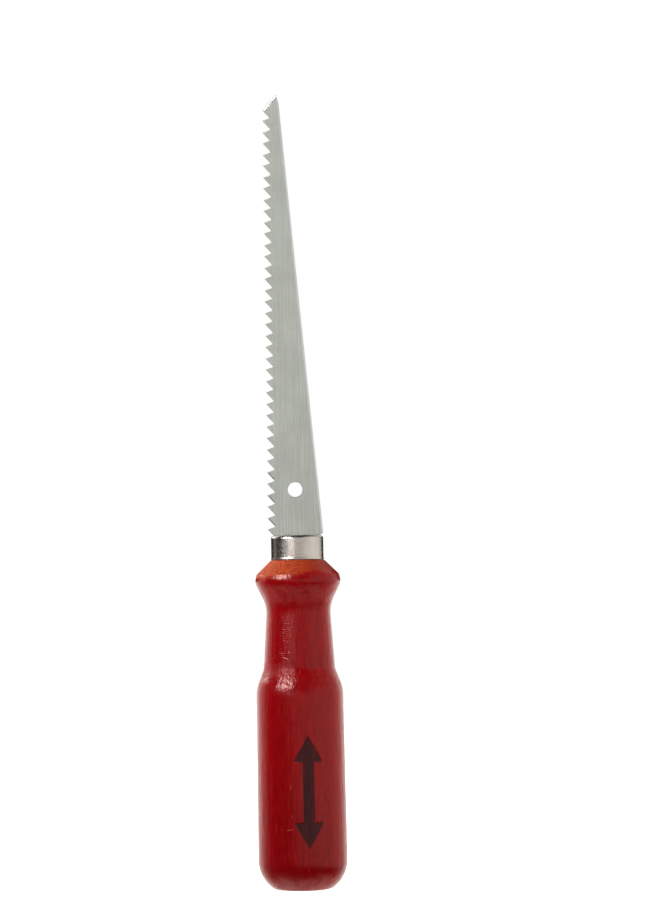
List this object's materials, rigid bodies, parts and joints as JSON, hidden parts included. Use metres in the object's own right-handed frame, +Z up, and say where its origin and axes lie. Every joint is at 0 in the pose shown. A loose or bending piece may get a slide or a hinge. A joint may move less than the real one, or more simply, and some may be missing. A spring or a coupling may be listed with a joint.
{
  "type": "drywall saw",
  "caption": "Hand saw for plasterboard: a stiff, pointed, tapered blade with coarse teeth, set through a plated ferrule into a turned red wooden handle.",
  "frame": {"origin": "centre of the flat foot at the handle's butt", "axes": "+Z up the handle to the blade's point; the blade lies in the XZ plane with its teeth towards -X; Y is square to the blade"},
  "size_m": [0.0328, 0.0328, 0.2943],
  "materials": {
    "handle_wood": "red lacquer over turned hardwood, semi-gloss",
    "ferrule_plate": "nickel plate, bright",
    "blade_steel": "satin, ground bevels at the teeth and front edge",
    "tang_adhesive": "cured epoxy"
  },
  "bodies": {
    "root": {"handle": "handle_wood", "ferrule": "ferrule_plate", "blade": "blade_steel", "tang_bond": "tang_adhesive"}
  },
  "joints": []
}
